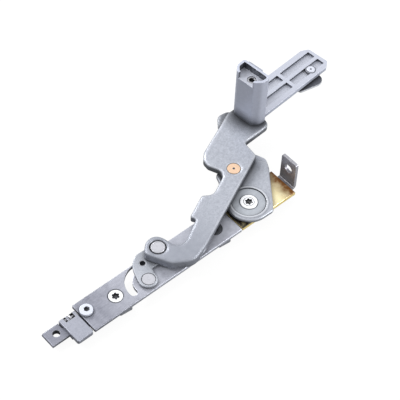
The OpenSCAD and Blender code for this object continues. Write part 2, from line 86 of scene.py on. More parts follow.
# %% [markdown]
# ## Camera
#
# The photograph was matched to a long lens that looks down on the hinge from its front
# left. Three unit vectors hold the camera's right, up and backward directions, which
# is exact, where three Euler angles would have to be worked out from them.

# %% Set the camera
CAMERA_AT = Vector((-0.3508, -0.4058, 0.7583))
RIGHT = Vector((0.75378458, -0.65630991, 0.03265136))
UP = Vector((0.50198538, 0.6071812, 0.61590719))
BACK = Vector((-0.42405128, -0.44787084, 0.78714181))
FOCAL_MM, SENSOR_MM = 128.69, 36

lens = bpy.data.cameras.new("portrait")
lens.lens, lens.sensor_width = FOCAL_MM, SENSOR_MM
lens.clip_start, lens.clip_end = 0.05, 20
camera = bpy.data.objects.new("portrait", lens)
bpy.context.scene.collection.objects.link(camera)
camera.matrix_world = Matrix((RIGHT, UP, BACK)).transposed().to_4x4()
camera.location = CAMERA_AT
bpy.context.scene.camera = camera
print("camera distance:", round(CAMERA_AT.length, 3), "m")

# %% [markdown]
# ## Light, floor and background
#
# Plain studio light: a pale sky all round, so that tops are light, walls about half as
# light and corners dark. A panel behind the hinge and a small one at its left add the light
# rims, because the rounded far edges mirror them towards the camera, and a panel at the
# front right lifts the walls on that side. The world and the floor are white for the camera
# and dimmer as lamps, so that the metal isn't washed out, and the floor keeps the shadow.

# %% Hang the lamps
LAMPS_AIM_AT = Vector((0.03, 0.01, 0.0))


def panel(name, at, size, watts):
    """A square area lamp that faces the hinge."""
    light = bpy.data.lights.new(name, "AREA")
    light.shape, light.size, light.energy = "SQUARE", size, watts
    lamp = bpy.data.objects.new(name, light)
    lamp.location = at
    lamp.rotation_euler = (LAMPS_AIM_AT - lamp.location).to_track_quat("-Z", "Y").to_euler()
    bpy.context.scene.collection.objects.link(lamp)


panel("back_panel", (0.08, 0.82, 0.52), 0.4, 5.0)
panel("left_panel", (-0.45, 0.42, 0.72), 0.3, 3.2)
panel("front_panel", (0.60, -0.78, 0.36), 0.5, 9.3)
bpy.context.scene.view_settings.view_transform = "Standard"
print("lamps hung:", len(bpy.data.lights))

# %% Paint the world
WORLD_LAMP = 0.63
WORLD_MIRRORED = 0.4


def math_node(tree, operation, a, b=None, clamp=False):
    """One Math node whose inputs are sockets or numbers. Returns its output socket."""
    node = tree.nodes.new("ShaderNodeMath")
    node.operation, node.use_clamp = operation, clamp
    for socket, value in zip(node.inputs, (a, b)):
        if value is None:
            continue
        if isinstance(value, (int, float)):
            socket.default_value = value
        else:
            tree.links.new(value, socket)
    return node.outputs[0]


def shown_or_mirrored(tree, mirrored):
    """A mask that is 1 for camera and transmission rays and a given share for glossy ones."""
    path = tree.nodes.new("ShaderNodeLightPath").outputs
    share = math_node(tree, "MULTIPLY", path["Is Glossy Ray"], mirrored)
    both = math_node(tree, "MAXIMUM", path["Is Camera Ray"], share)
    return math_node(tree, "MAXIMUM", both, path["Is Transmission Ray"])


world = bpy.data.worlds.new("studio")
bpy.context.scene.world = world
world.use_nodes = True
sky = world.node_tree
level = sky.nodes.new("ShaderNodeMix")
level.data_type = "FLOAT"
level.inputs["A"].default_value = WORLD_LAMP
level.inputs["B"].default_value = 1.0
sky.links.new(shown_or_mirrored(sky, WORLD_MIRRORED), level.inputs["Factor"])
background = sky.nodes["Background"].inputs
background["Color"].default_value = (1, 1, 1, 1)
sky.links.new(level.outputs["Result"], background["Strength"])
print("world level as a lamp:", WORLD_LAMP)

# %% Lay the floor
FLOOR_REACH = 3.0
FLOOR_GAP = 0.2 * MM
PAPER_GREY = 0.12
PAPER_GLOW, PAPER_MIRRORED = 0.9, 0.1
lowest = cad_box[0].z - FLOOR_GAP
plane = bmesh.new()
for x, y in ((-1, -1), (1, -1), (1, 1), (-1, 1)):
    plane.verts.new((x * FLOOR_REACH, y * FLOOR_REACH, lowest))
plane.faces.new(plane.verts)
floor_mesh = bpy.data.meshes.new("floor")
plane.to_mesh(floor_mesh)
plane.free()
floor = bpy.data.objects.new("floor", floor_mesh)
bpy.context.scene.collection.objects.link(floor)

paper = bpy.data.materials.new("white_paper")
paper.use_nodes = True
sheet = paper.node_tree
matt = sheet.nodes["Principled BSDF"].inputs
matt["Base Color"].default_value = (PAPER_GREY, PAPER_GREY, PAPER_GREY, 1)
matt["Roughness"].default_value = 1.0
matt["Specular IOR Level"].default_value = 0.0
matt["Emission Color"].default_value = (1, 1, 1, 1)
glow = math_node(sheet, "MULTIPLY", shown_or_mirrored(sheet, PAPER_MIRRORED), PAPER_GLOW)
sheet.links.new(glow, matt["Emission Strength"])
floor_mesh.materials.append(paper)
print("floor at z =", round(lowest / MM, 2), "mm")

# %% [markdown]
# ## Effects that several finishes share
#
# Three node groups carry what the metals have in common, each built once and placed in a
# material with its own values. *Cast skin* is the mottled, faintly pitted surface of a zinc
# casting. *Wear, highlight and shade* finds edges by comparing the true normal with a
# rounded one, and lets a noise break them up; the lighter colour put there is partly wear
# and partly a painted highlight. It also finds tight hollows, which get dirt and painted
# shade, the wider zones beside tall pieces, which get painted shade where those pieces would
# shade them, and the side walls, which get painted shade so that they come out darker than
# the tops. *Drawn lines* are the fine lines that rolling leaves on sheet steel. All three
# read object coordinates, which here are metres on the real hinge.

# %% Helpers that start a node group
FLOAT = "NodeSocketFloat"


def new_group(name, inputs, outputs):
    """A shader node group with float inputs {name: value} and named float outputs."""
    group = bpy.data.node_groups.new(name, "ShaderNodeTree")
    for label, value in inputs.items():
        group.interface.new_socket(label, in_out="INPUT", socket_type=FLOAT).default_value = value
    for label in outputs:
        group.interface.new_socket(label, in_out="OUTPUT", socket_type=FLOAT)
    return group, group.nodes.new("NodeGroupInput"), group.nodes.new("NodeGroupOutput")


def noise_node(tree, vector, scale, detail=3.0, roughness=0.55):
    """One Noise Texture on a vector socket. Scale is a number or a socket."""
    node = tree.nodes.new("ShaderNodeTexNoise")
    node.inputs["Detail"].default_value = detail
    node.inputs["Roughness"].default_value = roughness
    tree.links.new(vector, node.inputs["Vector"])
    if isinstance(scale, (int, float)):
        node.inputs["Scale"].default_value = scale
    else:
        tree.links.new(scale, node.inputs["Scale"])
    return node.outputs["Fac"]


def blend_two(tree, first, first_share, second, second_share):
    """The sum of two sockets, each times its share."""
    first = math_node(tree, "MULTIPLY", first, first_share)
    return math_node(tree, "ADD", first, math_node(tree, "MULTIPLY", second, second_share))


# %% Cast skin
PITS_PER_METRE, PIT_SIZE = 700.0, 0.22
cast_skin, given, result = new_group(
    "cast_skin",
    {"Mottle scale": 160.0, "Grain scale": 1500.0, "Pits": 0.3},
    ("Tone", "Height"),
)
spot = cast_skin.nodes.new("ShaderNodeTexCoord").outputs["Object"]
mottle = noise_node(cast_skin, spot, given.outputs["Mottle scale"], 4.0, 0.6)
grain = noise_node(cast_skin, spot, given.outputs["Grain scale"], 2.0, 0.5)
pits = cast_skin.nodes.new("ShaderNodeTexVoronoi")
cast_skin.links.new(spot, pits.inputs["Vector"])
pits.inputs["Scale"].default_value = PITS_PER_METRE
hollow = math_node(cast_skin, "SUBTRACT", PIT_SIZE, pits.outputs["Distance"], clamp=True)
hollow = math_node(cast_skin, "MULTIPLY", hollow, given.outputs["Pits"])
tone = blend_two(cast_skin, mottle, 0.5, grain, 0.5)
tone = math_node(cast_skin, "SUBTRACT", tone, hollow, clamp=True)
cast_skin.links.new(tone, result.inputs["Tone"])
bumps = blend_two(cast_skin, mottle, 0.6, grain, 0.4)
cast_skin.links.new(math_node(cast_skin, "SUBTRACT", bumps, hollow), result.inputs["Height"])
print("group:", cast_skin.name)

# %% Wear, painted highlight and painted shade
BEND_GAIN, WIDE_SHADE_GAIN = 6.0, 1.6
CHIPS_PER_METRE = 900.0
HOLLOW_REACH = 2.2 * MM
wear_highlight_and_shade, given, result = new_group(
    "wear_highlight_and_shade",
    {"Radius": 0.5 * MM, "Break up": 0.4, "Reach": 11 * MM},
    ("Edge", "Hollow", "Wide shade", "Side"),
)
# Edge: where the normal bends, a mask for a lighter colour that is partly wear and partly a
# painted highlight.
rounded = wear_highlight_and_shade.nodes.new("ShaderNodeBevel")
rounded.samples = 6
wear_highlight_and_shade.links.new(given.outputs["Radius"], rounded.inputs["Radius"])
true_normal = wear_highlight_and_shade.nodes.new("ShaderNodeNewGeometry").outputs["Normal"]
facing = wear_highlight_and_shade.nodes.new("ShaderNodeVectorMath")
facing.operation = "DOT_PRODUCT"
wear_highlight_and_shade.links.new(rounded.outputs["Normal"], facing.inputs[0])
wear_highlight_and_shade.links.new(true_normal, facing.inputs[1])
bend = math_node(wear_highlight_and_shade, "SUBTRACT", 1.0, facing.outputs["Value"], clamp=True)
bend = math_node(wear_highlight_and_shade, "MULTIPLY", bend, BEND_GAIN, clamp=True)
spot = wear_highlight_and_shade.nodes.new("ShaderNodeTexCoord").outputs["Object"]
chips = noise_node(wear_highlight_and_shade, spot, CHIPS_PER_METRE, 3.0, 0.6)
chips = math_node(wear_highlight_and_shade, "MULTIPLY", chips, given.outputs["Break up"])
edge_and_highlight_mask = math_node(wear_highlight_and_shade, "SUBTRACT", bend, chips, clamp=True)
# Hollow: tight hollows, darkened in the finishes with dirt and painted shade.
open_sky = wear_highlight_and_shade.nodes.new("ShaderNodeAmbientOcclusion")
open_sky.samples = 6
open_sky.inputs["Distance"].default_value = HOLLOW_REACH
hidden = math_node(wear_highlight_and_shade, "SUBTRACT", 1.0, open_sky.outputs["AO"], clamp=True)
edge_and_highlight_mask = math_node(wear_highlight_and_shade, "SUBTRACT", edge_and_highlight_mask, hidden, clamp=True)
wear_highlight_and_shade.links.new(edge_and_highlight_mask, result.inputs["Edge"])
wear_highlight_and_shade.links.new(hidden, result.inputs["Hollow"])
# Wide shade: zones beside tall pieces, darkened in the finishes as painted shade where those
# pieces would shade them.
wide_sky = wear_highlight_and_shade.nodes.new("ShaderNodeAmbientOcclusion")
wide_sky.samples = 8
wear_highlight_and_shade.links.new(given.outputs["Reach"], wide_sky.inputs["Distance"])
wide_shade_mask = math_node(wear_highlight_and_shade, "SUBTRACT", 1.0, wide_sky.outputs["AO"], clamp=True)
wide_shade_mask = math_node(wear_highlight_and_shade, "MULTIPLY", wide_shade_mask, WIDE_SHADE_GAIN, clamp=True)
wear_highlight_and_shade.links.new(wide_shade_mask, result.inputs["Wide shade"])
# Side: upright faces, darkened in the finishes as painted shade on the side walls.
apart = wear_highlight_and_shade.nodes.new("ShaderNodeSeparateXYZ")
wear_highlight_and_shade.links.new(true_normal, apart.inputs[0])
upright = math_node(wear_highlight_and_shade, "ABSOLUTE", apart.outputs["Z"])
side_wall = math_node(wear_highlight_and_shade, "SUBTRACT", 1.0, upright, clamp=True)
wear_highlight_and_shade.links.new(side_wall, result.inputs["Side"])
print("group:", wear_highlight_and_shade.name)

# %% Drawn lines
CLOUDS_PER_METRE = 110.0
drawn_lines, given, result = new_group(
    "drawn_lines", {"Line scale": 900.0, "Stretch": 0.03}, ("Tone", "Height")
)
spot = drawn_lines.nodes.new("ShaderNodeTexCoord").outputs["Object"]
parts = drawn_lines.nodes.new("ShaderNodeSeparateXYZ")
drawn_lines.links.new(spot, parts.inputs[0])
along = math_node(drawn_lines, "MULTIPLY", parts.outputs["X"], given.outputs["Stretch"])
joined = drawn_lines.nodes.new("ShaderNodeCombineXYZ")
drawn_lines.links.new(along, joined.inputs["X"])
drawn_lines.links.new(parts.outputs["Y"], joined.inputs["Y"])
drawn_lines.links.new(parts.outputs["Z"], joined.inputs["Z"])
lines = noise_node(drawn_lines, joined.outputs[0], given.outputs["Line scale"], 2.0, 0.5)
clouds = noise_node(drawn_lines, spot, CLOUDS_PER_METRE, 4.0, 0.6)
drawn_lines.links.new(blend_two(drawn_lines, lines, 0.35, clouds, 0.65), result.inputs["Tone"])
drawn_lines.links.new(lines, result.inputs["Height"])
print("group:", drawn_lines.name)

# %% [markdown]
# ## The finishes
# Every finish is a Principled shader fed by those groups: a body colour that drifts between
# a light and a dark shade, a lighter tone on edges that is partly wear and partly a painted
# highlight, a darker one in hollows that is partly dust and oil and partly painted shade,
# painted shade beside tall pieces and on side walls, a roughness that follows the same skin,
# and a small bump.
# hollows where dust and oil stay, a roughness that follows the same skin, and a small bump.
# The castings are satin-coated, so they are only partly metallic. Pins and screws are zinc
# plating, which is smoother. Two helpers then paint light and shade at one place: a colour
# towards one end of a piece, such as the bracket's brown reflection painted on the yellow
# plate and the shadow painted under the support arm, and a soft ring round a head, mostly a
# painted shadow and once a painted highlight on a bead.

# %% Helpers that wire a material
def linear(rgb):
    """sRGB 0 to 255 as the linear colour that a shader takes."""
    return tuple(
        c / 255 / 12.92 if c <= 10 else ((c / 255 + 0.055) / 1.055) ** 2.4 for c in rgb
    ) + (1.0,)


def mix_colour(tree, factor, a, b):
    """One colour Mix node from a to b. Each is a socket or a tuple. Returns its output."""
    node = tree.nodes.new("ShaderNodeMix")
    node.data_type = "RGBA"
    tree.links.new(factor, node.inputs["Factor"])
    for socket, value in ((node.inputs[6], a), (node.inputs[7], b)):
        if isinstance(value, tuple):
            socket.default_value = value
        else:
            tree.links.new(value, socket)
    return node.outputs[2]


def place_group(tree, group, values):
    """Puts a node group in a material with its own values. Returns its outputs."""
    node = tree.nodes.new("ShaderNodeGroup")
    node.node_tree = group
    for label, value in values.items():
        node.inputs[label].default_value = value
    return node.outputs


# %% Helper that mixes a finish
TONE_FROM, TONE_TO = 0.3, 0.7
BUMP_HEIGHT = 0.05 * MM
DIRT_AND_SHADE_SHARE = 0.2
SMOOTHER_WHERE_LIGHT, SMOOTHER_WHERE_RUBBED = 0.12, 0.1


def finish(
    name, skin, light, dark, edge, metallic=0.4, roughness=0.44,
    edge_mix=0.7, grime_and_shade=0.8, shade_near_tall=0.6, side=0.25, shade=None,
    bump=0.2, rim=0.0, band=0.45, reach=11.0,
):
    """A metal between a light and a dark shade, with a skin and an edge colour.

    edge_mix, grime_and_shade, shade_near_tall and side say how strongly the edges, hollows,
    zones near tall pieces and side walls show. The edge colour is partly wear and partly a
    painted highlight, hollows get dirt and painted shade, and the zones near tall pieces and
    the side walls get painted shade. shade is the colour of that dirt and painted shade. rim
    is the radius at which edges look rounded, band the width of the edge mask and reach that
    of the zones near tall pieces, all in mm.
    """
    made = bpy.data.materials.new(name)
    made.use_nodes = True
    tree = made.node_tree
    shader = tree.nodes["Principled BSDF"]
    surface = place_group(tree, *skin)
    wear = place_group(tree, wear_highlight_and_shade, {"Radius": band * MM, "Reach": reach * MM})
    spread = tree.nodes.new("ShaderNodeMapRange")
    spread.inputs["From Min"].default_value = TONE_FROM
    spread.inputs["From Max"].default_value = TONE_TO
    tree.links.new(surface["Tone"], spread.inputs["Value"])
    tone = spread.outputs["Result"]
    colour = mix_colour(tree, tone, linear(dark), linear(light))
    dirt_and_shade = linear(shade) if shade else tuple(c * DIRT_AND_SHADE_SHARE for c in linear(dark)[:3]) + (1.0,)
    # Edge colour: wear and painted highlight. Wide shade and side: painted shade. Hollow: dirt
    # and painted shade.
    for zone, share, over in (
        ("Edge", edge_mix, linear(edge)),
        ("Wide shade", shade_near_tall, dirt_and_shade),
        ("Side", side, dirt_and_shade),
        ("Hollow", grime_and_shade, dirt_and_shade),
    ):
        colour = mix_colour(tree, math_node(tree, "MULTIPLY", wear[zone], share), colour, over)
    tree.links.new(colour, shader.inputs["Base Color"])
    rough = math_node(tree, "MULTIPLY", tone, -SMOOTHER_WHERE_LIGHT)
    rough = math_node(tree, "ADD", rough, roughness + SMOOTHER_WHERE_LIGHT / 2)
    rubbed = math_node(tree, "MULTIPLY", wear["Edge"], SMOOTHER_WHERE_RUBBED)
    rough = math_node(tree, "SUBTRACT", rough, rubbed, clamp=True)
    tree.links.new(rough, shader.inputs["Roughness"])
    shader.inputs["Metallic"].default_value = metallic
    relief = tree.nodes.new("ShaderNodeBump")
    relief.inputs["Strength"].default_value = bump
    relief.inputs["Distance"].default_value = BUMP_HEIGHT
    tree.links.new(surface["Height"], relief.inputs["Height"])
    if rim:
        soft_rim = tree.nodes.new("ShaderNodeBevel")
        soft_rim.samples = 8
        soft_rim.inputs["Radius"].default_value = rim * MM
        tree.links.new(soft_rim.outputs["Normal"], relief.inputs["Normal"])
    tree.links.new(relief.outputs["Normal"], shader.inputs["Normal"])
    return made


# %% Helpers that paint light and shade at one place
PAINT_CLOUDS_PER_METRE = 260.0


def place_on_hinge(finish_used):
    """The X, Y and Z sockets of the place on the hinge, in metres, and the whole vector."""
    tree = finish_used.node_tree
    spot = tree.nodes.new("ShaderNodeTexCoord").outputs["Object"]
    parts = tree.nodes.new("ShaderNodeSeparateXYZ")
    tree.links.new(spot, parts.inputs[0])
    return parts.outputs, spot


def paint_over(finish_used, mask, shade):
    """Mixes a shade over a finish's own colour where a mask says so."""
    tree = finish_used.node_tree
    own_colour = tree.nodes["Principled BSDF"].inputs["Base Color"]
    before = own_colour.links[0].from_socket
    tree.links.new(mix_colour(tree, mask, before, linear(shade)), own_colour)


def paint_towards_end(finish_used, from_x, to_x, shade, amount):
    """Mixes a shade into a finish towards one end along X, broken up by a noise. All in mm."""
    tree = finish_used.node_tree
    parts, spot = place_on_hinge(finish_used)
    ramp = tree.nodes.new("ShaderNodeMapRange")
    ramp.interpolation_type = "SMOOTHSTEP"
    ramp.inputs["From Min"].default_value = from_x * MM
    ramp.inputs["From Max"].default_value = to_x * MM
    tree.links.new(parts["X"], ramp.inputs["Value"])
    cloud = math_node(tree, "ADD", noise_node(tree, spot, PAINT_CLOUDS_PER_METRE), 0.35)
    mask = math_node(tree, "MULTIPLY", ramp.outputs["Result"], cloud)
    paint_over(finish_used, math_node(tree, "MULTIPLY", mask, amount, clamp=True), shade)


def paint_ring(finish_used, x, y, radius, width, shade, amount):
    """Paints a soft ring round an upright axis, a painted shadow or highlight. All in mm."""
    tree = finish_used.node_tree
    parts, _ = place_on_hinge(finish_used)
    square = None
    for axis, centre in (("X", x), ("Y", y)):
        off = math_node(tree, "SUBTRACT", parts[axis], centre * MM)
        off = math_node(tree, "MULTIPLY", off, off)
        square = off if square is None else math_node(tree, "ADD", square, off)
    off = math_node(tree, "SUBTRACT", math_node(tree, "SQRT", square), radius * MM)
    off = math_node(tree, "DIVIDE", math_node(tree, "ABSOLUTE", off), width * MM)
    mask = math_node(tree, "SUBTRACT", 1.0, off, clamp=True)
    paint_over(finish_used, math_node(tree, "MULTIPLY", mask, amount, clamp=True), shade)


def round_head(node):
    """The axis, the radius and the top of a round piece, in mm."""
    low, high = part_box(node)
    x, y = (low.x + high.x) / 2 / MM, (low.y + high.y) / 2 / MM
    return x, y, (high.x - low.x) / 2 / MM, high.z / MM


# %% Choose the skins
CAST = (cast_skin, {"Mottle scale": 170.0, "Grain scale": 1500.0, "Pits": 0.3})
ARM = (cast_skin, {"Mottle scale": 520.0, "Grain scale": 1000.0, "Pits": 0.5})
FINE = (cast_skin, {"Mottle scale": 420.0, "Grain scale": 2600.0, "Pits": 0.1})
PITTED = (cast_skin, {"Mottle scale": 420.0, "Grain scale": 1500.0, "Pits": 0.6})
ROLLED = (drawn_lines, {"Line scale": 900.0, "Stretch": 0.35})
print("skins:", len((CAST, ARM, FINE, PITTED, ROLLED)))

# %% Mix the finishes of the castings
# name, skin, light shade, dark shade, edge colour for wear and painted highlight, then what
# differs from the usual
link_cast = finish(
    "link_cast", CAST, (190, 194, 203), (158, 162, 171), (236, 239, 245),
    shade_near_tall=0.5, rim=0.7,
)
block_cast = finish(
    "block_cast", ARM, (168, 171, 183), (146, 149, 161), (232, 235, 242),
    roughness=0.42, shade_near_tall=0.3,
)
# The arm's wide edge band is a painted highlight, and its large shares of wide and side shade
# paint the shade beside the bearing block and on its walls.
arm_cast = finish(
    "arm_cast", ARM, (189, 193, 203), (152, 156, 166), (228, 231, 237),
    edge_mix=0.6, shade_near_tall=2.0, side=0.72, bump=0.4, rim=3.6, band=4.0, reach=16,
)
# The support arm's near-white edge colour at full strength is partly a painted highlight on its
# rims.
wedge_cast = finish(
    "wedge_cast", ARM, (194, 198, 207), (162, 166, 176), (250, 252, 255),
    metallic=0.45, roughness=0.4, edge_mix=1.0, shade_near_tall=0.75, side=0.3, rim=1.0, band=0.9,
)
leaf_cast = finish(
    "leaf_cast", FINE, (200, 205, 221), (184, 189, 205), (240, 243, 249),
    metallic=0.35, shade_near_tall=1.6, side=0.1, rim=0.5,
)
# Painted light: a lighter copy of the leaf's finish, without painted shade, for its up-facing
# faces.
leaf_lit_plate = finish(
    "leaf_lit_plate", FINE, (214, 218, 231), (204, 208, 221), (228, 231, 240),
    metallic=0.35, grime_and_shade=0.1, shade_near_tall=0.0, side=0.0, rim=0.3,
)
leaf_rib = finish(
    "leaf_rib", FINE, (197, 201, 214), (186, 190, 203), (224, 227, 237),
    metallic=0.35, grime_and_shade=0.1, shade_near_tall=0.0, side=0.0, rim=0.3,
)
# The clamp in two copies: a dark one for its top, painted as shaded by the leaf, and a light one
# for its side walls as painted light.
lever_shaded_top = finish("lever_shaded_top", CAST, (116, 119, 128), (86, 88, 97), (204, 206, 212))
lever_lit_side = finish(
    "lever_lit_side", CAST, (232, 235, 242), (206, 209, 216), (246, 248, 252),
    grime_and_shade=0.3, shade_near_tall=0.0, side=0.0,
)
print("finishes so far:", len(bpy.data.materials) - 1)

# %% Mix the finishes of the sheet metal
BROWN = (120, 84, 40)
# The rail's near-white edge colour at full strength is partly a painted highlight on its edges.
rail_zinc = finish(
    "rail_zinc", ROLLED, (164, 166, 178), (114, 116, 128), (246, 248, 252),
    metallic=0.45, roughness=0.42, edge_mix=1.0, shade_near_tall=0.15, rim=0.8, band=0.7,
)
yellow_zinc = finish(
    "yellow_zinc", ROLLED, (255, 247, 206), (248, 232, 180), (255, 253, 230),
    metallic=0.45, roughness=0.36, shade_near_tall=0.1, shade=BROWN,
)
# Painted light: a stronger, unshaded yellow for the plate's side walls.
yellow_lit_edge = finish(
    "yellow_lit_edge", ROLLED, (255, 238, 168), (238, 212, 138), (255, 250, 220),
    metallic=0.45, roughness=0.36, grime_and_shade=0.3, shade_near_tall=0.0, side=0.0, shade=BROWN,
)
dark_sheet = finish(
    "dark_sheet", ROLLED, (152, 151, 158), (114, 112, 119), (222, 222, 228),
    metallic=0.5, roughness=0.4, shade_near_tall=0.2, side=0.05,
)
# Painted light: a lighter copy of the bracket's finish for its cut edges.
lit_cut_sheet = finish(
    "lit_cut_sheet", ROLLED, (184, 184, 191), (138, 138, 146), (232, 232, 238),
    roughness=0.42, side=0.0,
)
disc_steel = finish(
    "disc_steel", ROLLED, (193, 198, 206), (167, 172, 180), (240, 243, 248),
    metallic=0.5, roughness=0.4, shade_near_tall=0.4,
)
print("finishes so far:", len(bpy.data.materials) - 1)

# %% Mix the finishes of the small parts
pin_zinc = finish(
    "pin_zinc", FINE, (208, 209, 217), (180, 181, 188), (248, 250, 253),
    metallic=0.45, roughness=0.36, shade_near_tall=0.4,
)
white_zinc = finish(
    "white_zinc", FINE, (247, 248, 250), (235, 237, 241), (255, 255, 255),
    metallic=0.2, roughness=0.32, grime_and_shade=0.2, shade_near_tall=0.0,
)
head_zinc = finish(
    "head_zinc", FINE, (222, 226, 238), (206, 210, 222), (240, 243, 250),
    metallic=0.3, roughness=0.34, grime_and_shade=0.3, shade_near_tall=0.0,
)
# Painted shadow: a darker copy of the zinc for the clamp screw that lies in the arm's shadow.
shaded_zinc = finish(
    "shaded_zinc", FINE, (120, 122, 129), (84, 86, 93), (186, 188, 194),
    metallic=0.5, roughness=0.36,
)
peach_copper = finish(
    "peach_copper", FINE, (246, 214, 187), (226, 190, 157), (255, 240, 222),
    metallic=0.5, roughness=0.36,
)
print("finishes so far:", len(bpy.data.materials) - 1)

# %% Mix the dark finishes that paint shade inside
# Painted shade: these dark finishes line sockets, bores, the notch, the leaf's well and its
# pocket walls.
socket_shade = finish(
    "socket_shade", FINE, (108, 110, 117), (70, 72, 79), (150, 152, 158),
    roughness=0.4, grime_and_shade=0.5, shade_near_tall=0.4,
)
well_shade = finish(
    "well_shade", PITTED, (126, 129, 140), (60, 63, 72), (214, 217, 226),
    grime_and_shade=0.6, shade_near_tall=0.35,
)
pocket_shade = finish(
    "pocket_shade", FINE, (116, 119, 130), (76, 79, 89), (196, 199, 209),
    grime_and_shade=0.5, shade_near_tall=0.0,
)
print("finishes so far:", len(bpy.data.materials) - 1)

# %% Paint colours towards the ends
plate_start, plate_end = (corner.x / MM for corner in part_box("support_plate"))
# Painted reflection: the dark bracket's brown reflection near the plate's right end.
paint_towards_end(yellow_zinc, plate_end - 14, plate_end, (112, 70, 24), 1.2)
# Painted shadow: dark under the support arm near the plate's left end.
paint_towards_end(yellow_zinc, plate_start + 18, plate_start + 9, (26, 18, 6), 1.15)
# Painted light: the rail lighter from x = -52 mm towards x = -8 mm.
paint_towards_end(rail_zinc, -52, -8, (214, 217, 228), 0.6)
# Darker from x = -68 mm towards the rail's left end.
paint_towards_end(rail_zinc, -68, -76, (120, 122, 134), 0.6)
# Painted shade: the arm darker from x = 62 mm down to 14 mm.
paint_towards_end(arm_cast, 62, 14, (144, 148, 159), 0.9)
print("yellow plate from", round(plate_start, 1), "to", round(plate_end, 1), "mm")

# %% Ring the heads
# Painted shadow: a dark ring round each head, where the gap beside it lies in shade.
SHADOW_RING = (70, 73, 82)
# finish, head, how far outside the head and how wide in mm, shade, amount
for finish_used, node, out, width, shade, amount in (
    (wedge_cast, "pivot_disc", 0.25, 0.4, SHADOW_RING, 1.0),
    # Painted highlight: the light ring on the bead round the pivot disc.
    (wedge_cast, "pivot_disc", 1.1, 0.5, (240, 242, 246), 0.5),
    (leaf_lit_plate, "leaf_rivet", 0.35, 0.55, SHADOW_RING, 1.0),
    (leaf_rib, "leaf_rivet", 0.35, 0.55, SHADOW_RING, 1.0),
    (link_cast, "link_rivet", 0.2, 0.4, SHADOW_RING, 0.9),
    (rail_zinc, "eccentric_button", 0.2, 0.5, SHADOW_RING, 0.9),
    (disc_steel, "pivot_screw", 0.3, 0.5, SHADOW_RING, 0.9),
):
    x, y, radius, _ = round_head(node)
    paint_ring(finish_used, x, y, radius + out, width, shade, amount)
    print("ring on", finish_used.name, "round", node, round(radius, 2))
screws_low, screws_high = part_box("clamp_screws")
screw_r = (screws_high.y - screws_low.y) / 2 / MM
first_screw, second_screw = screws_low.x / MM + screw_r, screws_high.x / MM - screw_r
# Painted shadow: a dark ring round each clamp screw.
for x in (first_screw, second_screw):
    paint_ring(rail_zinc, x, 0.0, screw_r + 0.35, 0.7, SHADOW_RING, 1.0)

# %% [markdown]
# ## Softening a CAD solid
#
# A CAD file comes as loose triangles with knife edges, and real castings and stampings have
# none. The copy below is welded, its flat faces are merged into whole ones so that a bevel
# finds only true edges, and a Bevel modifier rounds them by the part's own radius. Weighted
# normals then keep the large faces flat in the light. The copy stands for the CAD node.

# %% Helper that dresses a node
WELD, FLAT, SHARP = 0.002 * MM, math.radians(0.6), math.radians(50.0)


def soften(node, finish_used, radius, segments=2):
    """A welded copy of a CAD node with rounded edges, in its own finish."""
    source = frame["nodes"][node]
    shape = bmesh.new()
    shape.from_mesh(source.data)
    bmesh.ops.remove_doubles(shape, verts=shape.verts, dist=WELD)
    bmesh.ops.dissolve_limit(
        shape, angle_limit=FLAT, verts=shape.verts, edges=shape.edges, delimit=set()
    )
    mesh = bpy.data.meshes.new(node + "_soft")
    shape.to_mesh(mesh)
    shape.free()
    mesh.materials.clear()
    mesh.materials.append(finish_used)
    for face in mesh.polygons:
        face.use_smooth = True
    piece = bpy.data.objects.new(node + "_soft", mesh)
    bpy.context.scene.collection.objects.link(piece)
    bevel = piece.modifiers.new("rounded edges", "BEVEL")
    bevel.limit_method, bevel.angle_limit = "ANGLE", SHARP
    bevel.width, bevel.segments = radius * MM, segments
    bevel.miter_outer = "MITER_ARC"
    bevel.use_clamp_overlap = True
    weighted = piece.modifiers.new("flat faces", "WEIGHTED_NORMAL")
    weighted.keep_sharp = True
    body = source["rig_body"]
    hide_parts(node)
    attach(piece, body)
    print(node, "faces", len(mesh.polygons), "rides on", body)
    return piece


# %% Helpers that give some faces a finish of their own
def line_faces(piece, finish_used, chosen):
    """Gives the faces that pass a test their own finish, such as the wall of a bore."""
    mesh = piece.data
    mesh.materials.append(finish_used)
    found = 0
    for face in mesh.polygons:
        if chosen(face.center, face.normal):
            face.material_index = len(mesh.materials) - 1
            found += 1
    print(piece.name, "faces in", finish_used.name, found)


def near_axis(x, y, radius, below):
    """A test for faces within a radius of an upright axis, below a height. All in mm."""
    def chosen(centre, normal):
        off = math.hypot(centre.x / MM - x, centre.y / MM - y)
        return off < radius and centre.z / MM < below
    return chosen


def upright_wall(centre, normal):
    """A test for faces that are upright, or lean less than 30 degrees."""
    return abs(normal.z) < 0.5


def faces_up(centre, normal):
    """A test for faces that face up and lean less than about 45 degrees."""
    return normal.z > 0.7


def both(one, other):
    """A test that passes where two tests do."""
    return lambda centre, normal: one(centre, normal) and other(centre, normal)


# %% [markdown]
# ## The pieces of the sash rail
#
# The rail and its plates are stamped sheet, so their edges are broken only slightly. The
# end block is a small casting and gets a larger radius. The bracket's cut edges get a lighter
# copy of its dark finish as painted light, and the walls of the tongue's bore are darkened as
# painted shade. The block's notch is darkened inside as painted shade, and two thin dark
# walls, painted shade put where the notch lies in shadow, close its far side beside the
# adjusting wheel.

# %% Dress the rail and its plates
soften("sash_rail", rail_zinc, 0.3)
plate = soften("support_plate", yellow_zinc, 0.25)
# The plate's side walls get the lit yellow as painted light.
line_faces(plate, yellow_lit_edge, upright_wall)
bracket = soften("angle_bracket", dark_sheet, 0.3)
bracket_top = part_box("angle_bracket")[1].z


def cut_edge(centre, normal):
    """The bracket's cut edges: its two sides and its top."""
    return abs(normal.y) > 0.9 or (faces_up(centre, normal) and centre.z > bracket_top - MM)


